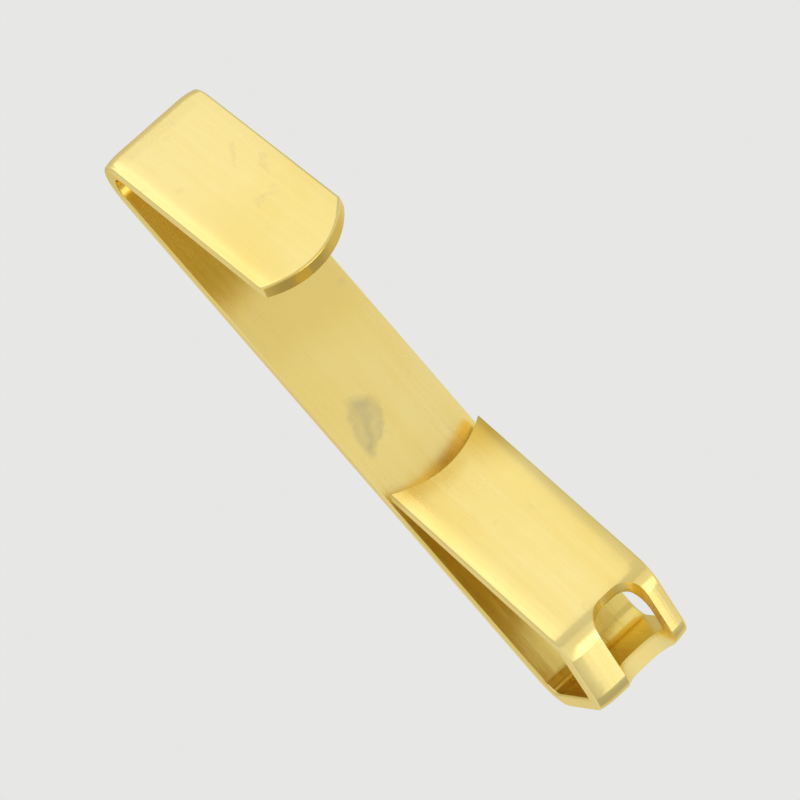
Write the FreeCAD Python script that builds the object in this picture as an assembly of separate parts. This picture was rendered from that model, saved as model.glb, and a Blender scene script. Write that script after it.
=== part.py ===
import FreeCAD, Part

import math
import os

# Picture hook folded from one narrow steel strip, brass finish
#
# +X is the width, the wall is the plane Y = 0 and the hook stands out towards -Y, +Z is up.
# The origin is where the line of the slanting fixing meets the wall.
# The side profile is drawn as (forward, height), where forward is the distance out from the wall.

# Strip
strip_width = 7.0
strip_thickness = 1.1
side_offset = 0.6  # the strip's middle lies this far to +X of the fixing line

# Fixing line and the collar round its hole in the back plate
fixing_angle = 40.0  # below level, from the nose down to the wall
fixing_radius = 1.25  # shank that the hole takes
hole_clearance = 0.2
collar_wall = 0.5
collar_height = 1.5  # out from the plate's front face
collar_foot_round = 0.35
collar_rim_round = 0.12
hole_mouth_round = 0.25

# Back plate and the top
corner_above_fixing = 9.6  # height of the top rear corner over the origin, before rounding
plate_length = 45.0  # from the top rear corner down to the corner of the bottom fold
base_rise = 5.0  # degrees that the top rises towards the nose
base_reach = 8.0  # forward distance of the corner between the top and the nose face

# Nose face and the leg that comes back down to the plate
nose_reach = 10.6  # forward distance of the corner between the nose face and the leg
nose_drop = 4.0  # depth of that corner under the top rear corner
leg_angle = 31.8  # between the leg and the plate
foot_gap = 0.98  # clear distance from the foot's corners to the plate's front face
foot_hollow = 1.15  # depth of the hollow arc across the foot's end

# Lip that holds the wire
lip_angle = 42.0  # between the lip and the plate
lip_length = 20.3  # from the corner of the bottom fold to the lip's tip
tip_radius = 4.9  # of the rounded end
tip_shift = 0.55  # the rounded end was cut this far off the strip's middle, towards +X
tip_corner_round = 0.3

# Outer radii of the bends, from the foot to the bottom fold
nose_lower_bend = 2.0
nose_upper_bend = 1.6
top_rear_bend = 2.2
bottom_bend = 2.5

# Slot wrapped over the nose for the fixing
slot_width = 3.7
slot_past_nose = 0.8  # how far it runs down the leg from the lower nose corner
slot_on_top = 1.7  # how far it runs back along the top from the upper nose corner
slot_corner = 1.4

# Edges of the cut strip: the outer face rolls over towards each side, where small rounds take over
roll_width = 1.2
roll_radius = 4.5
outer_edge_round = 0.2
inner_edge_round = 0.1

# Reach of the cutting tools past the strip, and their clearance from what they leave whole
overrun = 3.0
tool_reach = 12.0
tool_clearance = 0.25


def point(forward, height, across=0.0):
    return FreeCAD.Vector(across, -forward, height)


def unit(a, b):
    length = math.hypot(b[0] - a[0], b[1] - a[1])
    return ((b[0] - a[0]) / length, (b[1] - a[1]) / length)


def along(start, direction, distance):
    return (start[0] + direction[0] * distance, start[1] + direction[1] * distance)


def to_inside(direction):
    # the hollow side of the strip, when it is followed from the foot over the nose
    return (-direction[1], direction[0])


# Directions in the side view
base_slope = math.tan(math.radians(base_rise))
leg_rad = math.radians(leg_angle)
lip_rad = math.radians(lip_angle)
fixing_rad = math.radians(fixing_angle)
leg_down = (-math.sin(leg_rad), -math.cos(leg_rad))
leg_depth = nose_reach - strip_thickness * (1.0 + math.cos(leg_rad)) - foot_gap
leg_length = leg_depth / math.sin(leg_rad)
lip_up = (math.sin(lip_rad), math.cos(lip_rad))
fixing_out = (math.cos(fixing_rad), math.sin(fixing_rad))

# Corners of the strip's outer face before rounding, from the foot to the lip's tip
top_corner = (0.0, corner_above_fixing)
nose_top = (base_reach, corner_above_fixing + base_reach * base_slope)
nose_low = (nose_reach, corner_above_fixing - nose_drop)
foot_end = along(nose_low, leg_down, leg_length)
fold_corner = (0.0, corner_above_fixing - plate_length)
lip_tip = along(fold_corner, lip_up, lip_length)
outer_corners = [foot_end, nose_low, nose_top, top_corner, fold_corner, lip_tip]
outer_radii = [nose_lower_bend, nose_upper_bend, top_rear_bend, bottom_bend]
runs = [unit(a, b) for a, b in zip(outer_corners, outer_corners[1:])]


def side_prism(outline, low_x, high_x):
    # a straight-sided outline of the side view, extruded across from low_x to high_x
    corners = [point(f, h, low_x) for f, h in outline]
    face = Part.Face(Part.makePolygon(corners + [corners[0]]))
    return face.extrude(FreeCAD.Vector(high_x - low_x, 0, 0))


def through_disc(centre, normal, across, radius, depth):
    # a cylinder whose axis crosses the strip's face at a point of the side view
    axis = point(*normal)
    start = point(centre[0], centre[1], across) - axis * depth
    return Part.makeCylinder(radius, 2.0 * depth, start, axis)


# Section of the strip: its outer face is flat in the middle and rolls over towards both sides
left_side = side_offset - strip_width / 2.0
right_side = side_offset + strip_width / 2.0
flat_half = strip_width / 2.0 - roll_width
roll_turn = math.asin(roll_width / roll_radius)


def outer_spot(start, inward, side, angle):
    # on the outer face, turned by this angle round the roll-over of one side
    across = flat_half + roll_radius * math.sin(angle)
    depth = roll_radius * (1.0 - math.cos(angle))
    return point(*along(start, inward, depth), side_offset + side * across)


def section_face(start, direction):
    # the section, standing across the strip at a spot of its outer face
    inward = to_inside(direction)
    inner = along(start, inward, strip_thickness)
    left = [outer_spot(start, inward, -1.0, roll_turn * share) for share in (1.0, 0.5, 0.0)]
    right = [outer_spot(start, inward, 1.0, roll_turn * share) for share in (0.0, 0.5, 1.0)]
    edges = [
        Part.Arc(*left).toShape(),
        Part.LineSegment(left[-1], right[0]).toShape(),
        Part.Arc(*right).toShape(),
        Part.LineSegment(right[-1], point(*inner, right_side)).toShape(),
        Part.LineSegment(point(*inner, right_side), point(*inner, left_side)).toShape(),
        Part.LineSegment(point(*inner, left_side), left[0]).toShape(),
    ]
    return Part.Face(Part.Wire(edges))


# Bent strip: the section runs straight between the bends, and turns about the centre of each bend
bend_axis = FreeCAD.Vector(-1, 0, 0)
pieces = []
start = foot_end
for index, run in enumerate(runs[:-1]):
    corner = outer_corners[index + 1]
    after = runs[index + 1]
    turn = math.acos(run[0] * after[0] + run[1] * after[1])
    setback = outer_radii[index] * math.tan(turn / 2.0)
    bend_start = along(corner, run, -setback)
    centre = point(*along(bend_start, to_inside(run), outer_radii[index]))
    straight = section_face(start, run).extrude(point(*run) * math.dist(start, bend_start))
    bend = section_face(bend_start, run).revolve(centre, bend_axis, math.degrees(turn))
    pieces += [straight, bend]
    start = along(corner, after, setback)
last_run = point(*runs[-1]) * math.dist(start, lip_tip)
pieces.append(section_face(start, runs[-1]).extrude(last_run))
strip = pieces[0].multiFuse(pieces[1:]).removeSplitter()

# Rounded end of the lip, cut a little off the middle
lip_normal = to_inside(lip_up)
tip_centre = along(fold_corner, lip_up, lip_length - tip_radius)
tip_past = along(lip_tip, lip_up, overrun)
tip_outline = [
    along(tip_centre, lip_normal, -overrun),
    along(tip_centre, lip_normal, overrun),
    along(tip_past, lip_normal, overrun),
    along(tip_past, lip_normal, -overrun),
]
end_block = side_prism(tip_outline, left_side - overrun, right_side + overrun)
tip_middle = side_offset + tip_shift
tip_disc = through_disc(tip_centre, lip_normal, tip_middle, tip_radius, 2.0 * overrun)
strip = strip.cut(end_block.cut(tip_disc))


def edge_near(spot):
    return min(strip.Edges, key=lambda edge: edge.distToShape(Part.Vertex(spot))[0])


def tip_corner(side):
    rise = math.sqrt(tip_radius ** 2 - (side - tip_middle) ** 2)
    face_corner = along(tip_centre, lip_up, rise)
    return edge_near(point(*along(face_corner, lip_normal, strip_thickness / 2.0), side))


strip = strip.makeFillet(tip_corner_round, [tip_corner(left_side), tip_corner(right_side)])

# Small rounds on both faces' edges: each runs on along one side, round the lip's end and back
plate_middle = (0.0, corner_above_fixing - plate_length / 2.0)
outer_edge = edge_near(outer_spot(plate_middle, (1.0, 0.0), -1.0, roll_turn))
strip = strip.makeFillet(outer_edge_round, [outer_edge])
inner_edge = edge_near(point(strip_thickness, plate_middle[1], left_side))
strip = strip.makeFillet(inner_edge_round, [inner_edge])

# Hollow end of the foot, cut from the leg alone
foot_radius = (strip_width ** 2 / 4.0 + foot_hollow ** 2) / (2.0 * foot_hollow)
foot_centre = along(foot_end, leg_down, foot_radius - foot_hollow)
foot_outward = to_inside(leg_down)
foot_base = along(foot_end, leg_down, -2.0 * foot_hollow)
foot_past = along(foot_end, leg_down, tool_clearance)
foot_outline = [
    along(foot_base, foot_outward, overrun),
    along(foot_base, foot_outward, -strip_thickness - tool_clearance),
    along(foot_past, foot_outward, -strip_thickness - tool_clearance),
    along(foot_past, foot_outward, overrun),
]
foot_block = side_prism(foot_outline, left_side - overrun, right_side + overrun)
foot_disc = through_disc(foot_centre, foot_outward, side_offset, foot_radius, 2.0 * overrun)
strip = strip.cut(foot_disc.common(foot_block))

# Collar drawn forward round the hole, along the fixing line
hole_radius = fixing_radius + hole_clearance
collar_radius = hole_radius + collar_wall
rim_forward = strip_thickness + collar_height
fixing_axis = point(*fixing_out)
collar = Part.makeCylinder(collar_radius, 2.0 * tool_reach, fixing_axis * -tool_reach, fixing_axis)
span_corner = FreeCAD.Vector(-tool_reach, -rim_forward, -tool_reach)
span_depth = collar_height + strip_thickness / 2.0
collar_span = Part.makeBox(2.0 * tool_reach, span_depth, 2.0 * tool_reach, span_corner)
hook = strip.fuse(collar.common(collar_span)).removeSplitter()

# Hole through the plate and the collar, from behind the wall plane to the hollow short of the nose
hole_behind = overrun / math.cos(fixing_rad)
hole_length = hole_behind + (rim_forward + overrun) / math.cos(fixing_rad)
hook = hook.cut(Part.makeCylinder(hole_radius, hole_length, fixing_axis * -hole_behind, fixing_axis))


def rings(forward, radius):
    # edges round the fixing line, at this distance out from the wall and with this radius
    found = []
    for edge in hook.Edges:
        spots = edge.discretize(Number=5)
        level = all(abs(spot.y + forward) < 0.001 for spot in spots)
        around = all(abs(spot.cross(fixing_axis).Length - radius) < 0.001 for spot in spots)
        if level and around:
            found.append(edge)
    return found


# Rounded foot and rim of the collar, and the drawn-in mouth of the hole on the wall side
hook = hook.makeFillet(collar_foot_round, rings(strip_thickness, collar_radius))
hook = hook.makeFillet(collar_rim_round, rings(rim_forward, collar_radius) + rings(rim_forward, hole_radius))
hook = hook.makeFillet(hole_mouth_round, rings(0.0, hole_radius))

# Slot wrapped over the nose, each end with its own rounded corners
slot_low = along(nose_low, leg_down, slot_past_nose)
slot_high = along(nose_top, runs[2], slot_on_top)
leg_inward = to_inside(runs[0])
top_inward = to_inside(runs[2])
slot_depth = strip_thickness + tool_clearance
low_inside = along(slot_low, leg_inward, slot_depth)
high_inside = along(slot_high, top_inward, slot_depth)
in_hollow = ((low_inside[0] + high_inside[0]) / 2.0, (low_inside[1] + high_inside[1]) / 2.0)
beyond_nose = (nose_reach + 2.0 * overrun, corner_above_fixing + overrun)


def slot_half(end, inside, inward):
    outline = [along(end, inward, -overrun), inside, in_hollow, beyond_nose]
    tool = side_prism(outline, -slot_width / 2.0, slot_width / 2.0)
    corners = []
    for edge in tool.Edges:
        first, last = [vertex.Point for vertex in edge.Vertexes]
        if abs((last - first).normalize().dot(point(*inward))) > 0.9999:
            corners.append(edge)
    return tool.makeFillet(slot_corner, corners)


hook = hook.cut(slot_half(slot_low, low_inside, leg_inward))
hook = hook.cut(slot_half(slot_high, high_inside, top_inward))

print("valid", hook.isValid(), "solids", len(hook.Solids), "volume", round(hook.Volume, 2))
print("box", hook.BoundBox)

os.makedirs("parts", exist_ok=True)
hook.exportStep("parts/hook.step")
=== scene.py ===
import math

import bpy
from mathutils import Matrix, Vector

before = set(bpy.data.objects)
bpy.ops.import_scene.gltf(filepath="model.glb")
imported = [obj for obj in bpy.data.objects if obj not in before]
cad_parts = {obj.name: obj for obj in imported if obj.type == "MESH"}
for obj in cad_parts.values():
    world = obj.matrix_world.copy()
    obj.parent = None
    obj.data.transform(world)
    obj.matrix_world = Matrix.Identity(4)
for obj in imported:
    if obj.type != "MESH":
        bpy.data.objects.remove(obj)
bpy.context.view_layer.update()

MM = 1000.0  # millimetres in a metre: the material works in millimetres of the row frame

# Linear colours of the brass finish
BRASS = (0.93, 0.75, 0.265)
BRASS_PALE = (0.95, 0.81, 0.37)
BRASS_WARM = (0.91, 0.69, 0.21)
BRASS_EDGE = (0.96, 0.87, 0.60)  # tint at a grazing angle
# painted shade: the darker, warmer brass of the inner faces
INNER_PAINTED_SHADE = (0.80, 0.62, 0.16)
# painted reflection and shade: the warmer, darker brass of the leg's foot and the lip's end
# face
END_PAINTED_REFLECTION_AND_SHADE = (0.67, 0.43, 0.05)
STAIN = (0.42, 0.37, 0.23)

# Patterns: changes per millimetre across the strip (X) and along it (Y and Z)
BROAD_SCALE = (0.9, 0.03, 0.03)
LINE_SCALE = (3.6, 0.06, 0.06)
HAIR_SCALE = (8.5, 0.12, 0.12)
SCRATCH_SCALE = (5.5, 0.22, 0.22)
PATCH_SCALE = (0.5, 0.3, 0.3)
DUST_SCALE = (0.85, 0.595, 0.595)
CLOUD_SCALE = 0.16
GRAIN_SCALE = 4.5

# Every ramp below is (start, end, value at the start, value at the end)

# Colour: how much of a second brass shows, and a painted highlight of paler brass on the
# sheared sides
TONE_RAMP = (0.36, 0.64, 0.0, 1.0)
LINE_WARM_RAMP = (0.35, 0.65, 0.0, 0.22)
# painted highlight: paler brass on the sheared sides
SIDE_HIGHLIGHT_RAMP = (0.15, 0.8, 0.0, 0.4)  # by how far the surface faces sideways
FOLD_PALE_RAMP = (-31.0, -22.0, 0.7, 0.0)  # by height, paler at the bottom fold
DUST_RAMP = (0.63, 0.74, 0.0, 0.13)

# Gloss and relief
PATCH_ROUGHNESS = (0.3, 0.7, 0.20, 0.27)
LINE_ROUGHNESS = (0.3, 0.7, -0.02, 0.03)
SHEARED_ROUGHNESS = (0.90, 0.99, 0.0, 0.14)  # by how far the surface faces sideways
SCRATCH_RAMP = (0.70, 0.74, 0.0, 1.0)
LINE_RELIEF = 0.6
HAIR_RELIEF = 0.25
GRAIN_RELIEF = 0.25
SCRATCH_RELIEF = 0.4
RELIEF_METRES = 0.000008

# Painted light at the ends, drawn as a warmer, darker brass: a painted reflection on the leg's
# foot round its -X corner and along its hollow arc, but not the plate behind it, and painted
# shade on the lip's end face
FOOT_CORNER = (-2.9, -3.1, -6.5)
FOOT_CORNER_RAMP = (0.8, 4.2, 0.8, 0.0)
FOOT_ARC_MIDDLE = (0.6, -0.6, -10.5)
FOOT_ARC_RAMP = (5.9, 7.2, 0.45, 0.0)
OFF_PLATE_RAMP = (-2.4, -1.6, 1.0, 0.0)
LIP_END_NORMAL = (0.0, -0.669, 0.743)
LIP_END_RAMP = (0.55, 0.85, 0.0, 0.7)
LIP_END_HEIGHT = (-18.0, -14.0, 1.0, 0.0)

# Painted shade on the inner faces, drawn as a darker, warmer brass: outer faces of the strip as
# (outward normal, reach along it), the depth under them where the inner faces begin, and the
# heights where the painted shade fades
PLATE_BACK = ((0.0, 1.0, 0.0), 0.0)
LIP_OUTER = ((0.0, -0.743, -0.669), 23.69)
LEG_OUTER = ((0.0, -0.850, -0.527), 6.06)
NOSE_OUTER = ((0.0, -0.875, 0.484), 11.99)
TOP_OUTER = ((0.0, 0.087, 0.996), 9.56)
INNER_DEPTH_RAMP = (0.80, 1.05, 0.0, 1.0)
INNER_FOLD_RAMP = (-23.0, -19.5, 0.65, 0.0)
INNER_NOSE_RAMP = (-6.5, -3.5, 0.0, 1.0)
INNER_TOP_RAMP = (1.0, 5.0, 1.0, 0.75)

# Smudge on the plate's front
SMUDGE_MIDDLE = (2.1, -1.1, -10.15)
SMUDGE_TURN = 60.0  # degrees that its long side leans from +X towards +Z
SMUDGE_REACH = (1.75, 2.0 / 3.0, 1.4)  # along it, off the plate and across it
SMUDGE_TAPER = (-1.0, 1.0, 0.8, 2.2)
SMUDGE_RAGGED = 0.8  # how far its outline wanders
SMUDGE_OUTLINE = (0.45, 1.35, 1.0, 0.0)
SMUDGE_BASE = 0.24
SMUDGE_RING = (0.15, 0.85, 0.0, 0.16)
SMUDGE_STREAK = (0.05, 0.55, 0.22, 0.0)

# Stage: a pale room and a plain floor
ROOM = (1.0, 1.0, 0.99)
ROOM_LEVEL_RAMP = (-0.85, 0.05, 0.87, 0.80)  # from in front to behind
ROOM_OVERHEAD_RAMP = (0.70, 0.95, 1.0, 0.58)  # share of that level, from the walls to overhead
FLOOR = (0.86, 0.86, 0.85)
FLOOR_SHADE = (0.82, 0.82, 0.81)
FLOOR_CLOUD_RAMP = (0.3, 0.7, 0.0, 0.06)
FLOOR_ROUGHNESS = 0.95
FLOOR_GLOSS = 0.1
FLOOR_HEIGHT = -0.10
FLOOR_RADIUS = 3.0

# Lamps: place, size and radiance
SOFTBOX_PLACE = Vector((-0.20, -0.50, 0.60))
SOFTBOX_AIM = Vector((0.0, 0.0, -0.01))
SOFTBOX_SIZE = (0.5, 0.5)
SOFTBOX_RADIANCE = 1.05
PANEL_LIFT = 0.002  # of the low panels over the floor
LOW_PANELS = {
    "panel_low": ((-0.004, -0.06), (0.118, 0.22), 0.35),
    "panel_low_side": ((0.065, -0.06), (0.13, 0.22), 0.53),
    "panel_low_back": ((-0.015, 0.018), (0.09, 0.06), 0.20),
}

# Camera: the photograph's place and turn, with closer framing
CAMERA_PLACE = Vector((0.06925, -0.31096, -0.04201))
CAMERA_AIM = Vector((0.0009, -0.0068, -0.0106))
IMAGE_UP = Vector((-0.62682, -0.17669, -0.75887))
CAMERA_LENS = 250.0
CAMERA_CLIP = (0.01, 20.0)


class Tree:
    """Short ways to add nodes and links to one node tree."""

    def __init__(self, tree):
        self.tree = tree
        self.tree.nodes.clear()

    def add(self, kind, **settings):
        made = self.tree.nodes.new(kind)
        for name, value in settings.items():
            setattr(made, name, value)
        return made

    def put(self, target, value):
        if isinstance(value, bpy.types.NodeSocket):
            self.tree.links.new(value, target)
        else:
            target.default_value = value

    def math(self, operation, *values):
        made = self.add("ShaderNodeMath", operation=operation)
        for target, value in zip(made.inputs, values):
            self.put(target, value)
        return made.outputs[0]

    def plus(self, a, b):
        return self.math("ADD", a, b)

    def times(self, a, b):
        return self.math("MULTIPLY", a, b)

    def vector_math(self, operation, a, b, output="Value"):
        made = self.add("ShaderNodeVectorMath", operation=operation)
        self.put(made.inputs[0], a)
        self.put(made.inputs[1], b)
        return made.outputs[output]

    def split(self, vector):
        made = self.add("ShaderNodeSeparateXYZ")
        self.put(made.inputs[0], vector)
        return made.outputs

    def stretch(self, vector, scale, offset=(0.0, 0.0, 0.0)):
        made = self.add("ShaderNodeMapping")
        self.put(made.inputs["Vector"], vector)
        self.put(made.inputs["Scale"], scale)
        self.put(made.inputs["Location"], offset)
        return made.outputs["Vector"]

    def remap(self, value, ramp, kind="SMOOTHSTEP"):
        made = self.add("ShaderNodeMapRange", interpolation_type=kind, clamp=True)
        for target, source in zip(made.inputs[:5], (value, *ramp)):
            self.put(target, source)
        return made.outputs[0]

    def mix(self, share, a, b):
        made = self.add("ShaderNodeMix", data_type="RGBA")
        self.put(made.inputs["Factor"], share)
        for target, colour in zip(made.inputs[6:8], (a, b)):
            self.put(target, (*colour, 1.0) if isinstance(colour, tuple) else colour)
        return made.outputs[2]

    def noise(self, vector, scale=1.0, detail=2.0, rough=0.5, distortion=0.0):
        made = self.add("ShaderNodeTexNoise")
        self.put(made.inputs["Vector"], vector)
        self.put(made.inputs["Scale"], scale)
        self.put(made.inputs["Detail"], detail)
        self.put(made.inputs["Roughness"], rough)
        self.put(made.inputs["Distortion"], distortion)
        return made.outputs[0]


def new_material(name):
    """A material of one Principled shader, with its node tree and the shader's inputs."""
    material = bpy.data.materials.new(name)
    material.use_nodes = True
    t = Tree(material.node_tree)
    shader = t.add("ShaderNodeBsdfPrincipled")
    t.put(t.add("ShaderNodeOutputMaterial").inputs["Surface"], shader.outputs["BSDF"])
    return material, t, shader.inputs


def inside_share(t, mm, faces):
    """1 on what lies under all these outer faces by the strip's thickness, else 0."""
    depth = None
    for normal, reach in faces:
        under = t.math("SUBTRACT", reach, t.vector_math("DOT_PRODUCT", mm, normal))
        depth = under if depth is None else t.math("MINIMUM", depth, under)
    return t.remap(depth, INNER_DEPTH_RAMP)


def painted_inner_shade_share(t, mm):
    """How much painted shade, a darker warmer brass, shows on the inner faces: up in the nose,
    down in the fold.
    """
    height = t.split(mm)[2]
    nose = inside_share(t, mm, (PLATE_BACK, LEG_OUTER, NOSE_OUTER, TOP_OUTER))
    nose = t.times(nose, t.remap(height, INNER_NOSE_RAMP))
    nose = t.times(nose, t.remap(height, INNER_TOP_RAMP))
    fold = inside_share(t, mm, (PLATE_BACK, LIP_OUTER))
    fold = t.times(fold, t.remap(height, INNER_FOLD_RAMP))
    return t.math("MAXIMUM", nose, fold)


def painted_end_share(t, mm, normal):
    """How much painted light shows at the ends: a painted reflection at the leg's foot and
    painted shade on the lip's end face.
    """
    _, depth, height = t.split(mm)
    corner = t.remap(t.vector_math("DISTANCE", mm, FOOT_CORNER), FOOT_CORNER_RAMP)
    arc = t.remap(t.vector_math("DISTANCE", mm, FOOT_ARC_MIDDLE), FOOT_ARC_RAMP)
    foot = t.times(t.math("MAXIMUM", corner, arc), t.remap(depth, OFF_PLATE_RAMP))
    tip = t.remap(t.vector_math("DOT_PRODUCT", normal, LIP_END_NORMAL), LIP_END_RAMP)
    tip = t.times(tip, t.remap(height, LIP_END_HEIGHT))
    return t.math("MAXIMUM", foot, tip)


def smudge_share(t, mm):
    """How much of the faint smudge shows, more on its outline and a streak along its middle."""
    middle = t.stretch(mm, (1.0, 1.0, 1.0), tuple(-v for v in SMUDGE_MIDDLE))
    turned = t.add("ShaderNodeVectorRotate", rotation_type="Y_AXIS")
    t.put(turned.inputs["Vector"], middle)
    t.put(turned.inputs["Angle"], math.radians(SMUDGE_TURN))
    wander = t.stretch(t.noise(mm, 1.1), (SMUDGE_RAGGED,) * 3, (-SMUDGE_RAGGED / 2.0,) * 3)
    ragged = t.vector_math("ADD", turned.outputs[0], wander, "Vector")
    along, off, across = t.split(t.stretch(ragged, tuple(1.0 / v for v in SMUDGE_REACH)))
    across = t.times(across, t.remap(along, SMUDGE_TAPER, "LINEAR"))
    square = t.plus(t.math("POWER", along, 2.0), t.math("POWER", across, 2.0))
    square = t.plus(square, t.math("POWER", off, 2.0))
    ring = t.remap(square, SMUDGE_RING)
    streak = t.remap(t.math("ABSOLUTE", across), SMUDGE_STREAK)
    weight = t.plus(t.plus(ring, streak), SMUDGE_BASE)
    return t.times(t.remap(square, SMUDGE_OUTLINE), weight)


def brass_material():
    material, t, surface = new_material("brass_strip")
    t.put(surface["Metallic"], 1.0)
    t.put(surface["Specular Tint"], (*BRASS_EDGE, 1.0))

    mm = t.stretch(t.add("ShaderNodeTexCoord").outputs["Object"], (MM, MM, MM))
    height = t.split(mm)[2]
    normal = t.add("ShaderNodeNewGeometry").outputs["Normal"]
    sideways = t.math("ABSOLUTE", t.split(normal)[0])

    # Rolling lines along the strip: fast across it, slow along it. The offsets keep one pattern
    # from lying on another.
    broad = t.noise(t.stretch(mm, BROAD_SCALE))
    lines = t.noise(t.stretch(mm, LINE_SCALE, (3.1, 0.0, 0.0)), rough=0.6)
    hairs = t.noise(t.stretch(mm, HAIR_SCALE, (7.7, 0.0, 0.0)), rough=0.6)
    scratches = t.noise(t.stretch(mm, SCRATCH_SCALE, (1.7, 4.0, 9.0)), detail=1.0)

    # Cloudy plating, patches of gloss, scattered specks and the fine grain of the surface
    cloud = t.noise(mm, CLOUD_SCALE, detail=3.0, rough=0.55, distortion=0.4)
    patch = t.noise(t.stretch(mm, PATCH_SCALE, (5.5, 2.5, 1.0)))
    dust = t.noise(t.stretch(mm, DUST_SCALE, (2.55, 6.8, 0.85)), rough=0.6, distortion=0.5)
    grain = t.noise(mm, GRAIN_SCALE, detail=3.0, rough=0.65)

    # Colour
    tone = t.plus(t.times(cloud, 0.7), t.times(broad, 0.3))
    colour = t.mix(t.remap(tone, TONE_RAMP, "LINEAR"), BRASS_WARM, BRASS_PALE)
    colour = t.mix(0.5, colour, BRASS)
    colour = t.mix(t.remap(height, FOLD_PALE_RAMP), colour, BRASS_PALE)
    colour = t.mix(t.remap(lines, LINE_WARM_RAMP, "LINEAR"), colour, BRASS_WARM)
    # Painted highlight: paler brass on the sheared sides
    colour = t.mix(t.remap(sideways, SIDE_HIGHLIGHT_RAMP, "LINEAR"), colour, BRASS_PALE)
    # Painted shade on the inner faces of the nose and the fold
    colour = t.mix(painted_inner_shade_share(t, mm), colour, INNER_PAINTED_SHADE)
    # Painted reflection on the leg's foot and painted shade on the lip's end face
    colour = t.mix(painted_end_share(t, mm, normal), colour, END_PAINTED_REFLECTION_AND_SHADE)
    colour = t.mix(t.remap(dust, DUST_RAMP), colour, STAIN)
    colour = t.mix(smudge_share(t, mm), colour, STAIN)
    t.put(surface["Base Color"], colour)

    # Roughness, more on the sheared sides
    rough = t.remap(patch, PATCH_ROUGHNESS, "LINEAR")
    for pattern in (lines, hairs):
        rough = t.plus(rough, t.remap(pattern, LINE_ROUGHNESS, "LINEAR"))
    rough = t.plus(rough, t.remap(sideways, SHEARED_ROUGHNESS))
    t.put(surface["Roughness"], rough)

    # Relief
    relief = t.plus(t.times(lines, LINE_RELIEF), t.times(hairs, HAIR_RELIEF))
    scratch = t.remap(scratches, SCRATCH_RAMP)
    relief = t.math("SUBTRACT", relief, t.times(scratch, SCRATCH_RELIEF))
    relief = t.plus(relief, t.times(grain, GRAIN_RELIEF))
    bump = t.add("ShaderNodeBump")
    t.put(bump.inputs["Strength"], 1.0)
    t.put(bump.inputs["Distance"], RELIEF_METRES)
    t.put(bump.inputs["Height"], relief)
    t.put(surface["Normal"], bump.outputs[0])
    return material


def floor_material():
    material, t, surface = new_material("stage_floor")
    t.put(surface["Roughness"], FLOOR_ROUGHNESS)
    t.put(surface["Specular IOR Level"], FLOOR_GLOSS)
    cloud = t.noise(t.add("ShaderNodeTexCoord").outputs["Object"], 3.0)
    shade = t.remap(cloud, FLOOR_CLOUD_RAMP, "LINEAR")
    t.put(surface["Base Color"], t.mix(shade, FLOOR, FLOOR_SHADE))
    return material


def add_floor():
    bpy.ops.mesh.primitive_circle_add(
        vertices=128, radius=FLOOR_RADIUS, fill_type="NGON", location=(0, 0, FLOOR_HEIGHT)
    )
    floor = bpy.context.object
    floor.name = "floor"
    floor.data.materials.append(floor_material())


def add_world():
    """A pale room, the same for the eye and for the metal."""
    world = bpy.data.worlds.new("studio")
    bpy.context.scene.world = world
    world.use_nodes = True
    t = Tree(world.node_tree)
    _, backward, upward = t.split(t.add("ShaderNodeTexCoord").outputs["Generated"])
    level = t.remap(backward, ROOM_LEVEL_RAMP)
    overhead = t.remap(upward, ROOM_OVERHEAD_RAMP)
    room = t.add("ShaderNodeBackground")
    t.put(room.inputs["Color"], (*ROOM, 1.0))
    t.put(room.inputs["Strength"], t.times(level, overhead))
    t.put(t.add("ShaderNodeOutputWorld").inputs["Surface"], room.outputs[0])


def add_softbox(name, place, aim, size, radiance):
    """A soft rectangular lamp that the camera doesn't see."""
    data = bpy.data.lights.new(name, "AREA")
    data.shape = "RECTANGLE"
    data.size, data.size_y = size
    data.energy = radiance * math.pi * size[0] * size[1]
    lamp = bpy.data.objects.new(name, data)
    bpy.context.scene.collection.objects.link(lamp)
    lamp.location = place
    lamp.rotation_euler = (aim - place).to_track_quat("-Z", "Y").to_euler()
    lamp.visible_camera = False


def add_low_panels():
    """Soft lights that lie just over the floor and face up."""
    for name, (middle, size, radiance) in LOW_PANELS.items():
        place = Vector((*middle, FLOOR_HEIGHT + PANEL_LIFT))
        add_softbox(name, place, place + Vector((0.0, 0.0, 1.0)), size, radiance)


def add_camera():
    data = bpy.data.cameras.new("camera")
    data.lens = CAMERA_LENS
    data.clip_start, data.clip_end = CAMERA_CLIP
    camera = bpy.data.objects.new("camera", data)
    bpy.context.scene.collection.objects.link(camera)
    back = (CAMERA_PLACE - CAMERA_AIM).normalized()
    right = IMAGE_UP.cross(back).normalized()
    up = back.cross(right)
    turn = Matrix((right, up, back)).transposed()
    camera.matrix_world = Matrix.Translation(CAMERA_PLACE) @ turn.to_4x4()
    bpy.context.scene.camera = camera


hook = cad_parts["hook"]
hook.material_slots[0].material = brass_material()

add_floor()
add_world()
add_softbox("softbox_top", SOFTBOX_PLACE, SOFTBOX_AIM, SOFTBOX_SIZE, SOFTBOX_RADIANCE)
add_low_panels()
add_camera()
bpy.context.scene.view_settings.view_transform = "Standard"
